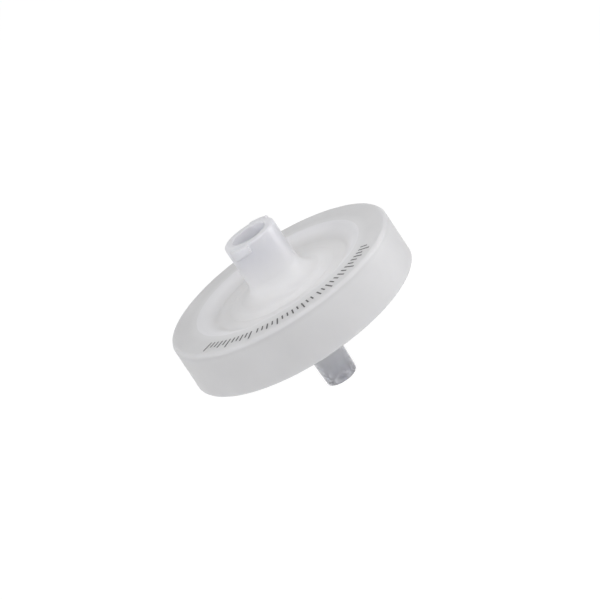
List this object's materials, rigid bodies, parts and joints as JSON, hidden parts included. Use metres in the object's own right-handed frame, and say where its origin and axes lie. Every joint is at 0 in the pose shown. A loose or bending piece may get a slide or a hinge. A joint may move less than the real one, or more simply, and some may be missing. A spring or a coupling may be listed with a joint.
{
  "type": "syringe filter",
  "caption": "Disposable round membrane syringe filter with a female Luer-lock inlet hub, a dished translucent body and a male Luer-slip outlet.",
  "frame": {"origin": "centre of the outlet cone's end face", "axes": "+Z along the flow axis from the outlet's tip to the inlet's mouth; +X is any radius, with the first lug's thin end 78 degrees round from it"},
  "size_m": [0.0294, 0.0294, 0.0211],
  "materials": {
    "inlet_plastic": "translucent natural polypropylene, satin",
    "outlet_plastic": "translucent natural polypropylene, clearer in the thin outlet",
    "support_plastic": "natural polypropylene",
    "membrane": "white porous membrane",
    "band_plastic": "translucent natural polypropylene, satin",
    "print_ink": "dark pad-printed ink"
  },
  "bodies": {
    "root": {"inlet_housing": "inlet_plastic", "outlet_housing": "outlet_plastic", "membrane_support": "support_plastic", "membrane": "membrane", "sealing_band": "band_plastic"}
  },
  "joints": []
}
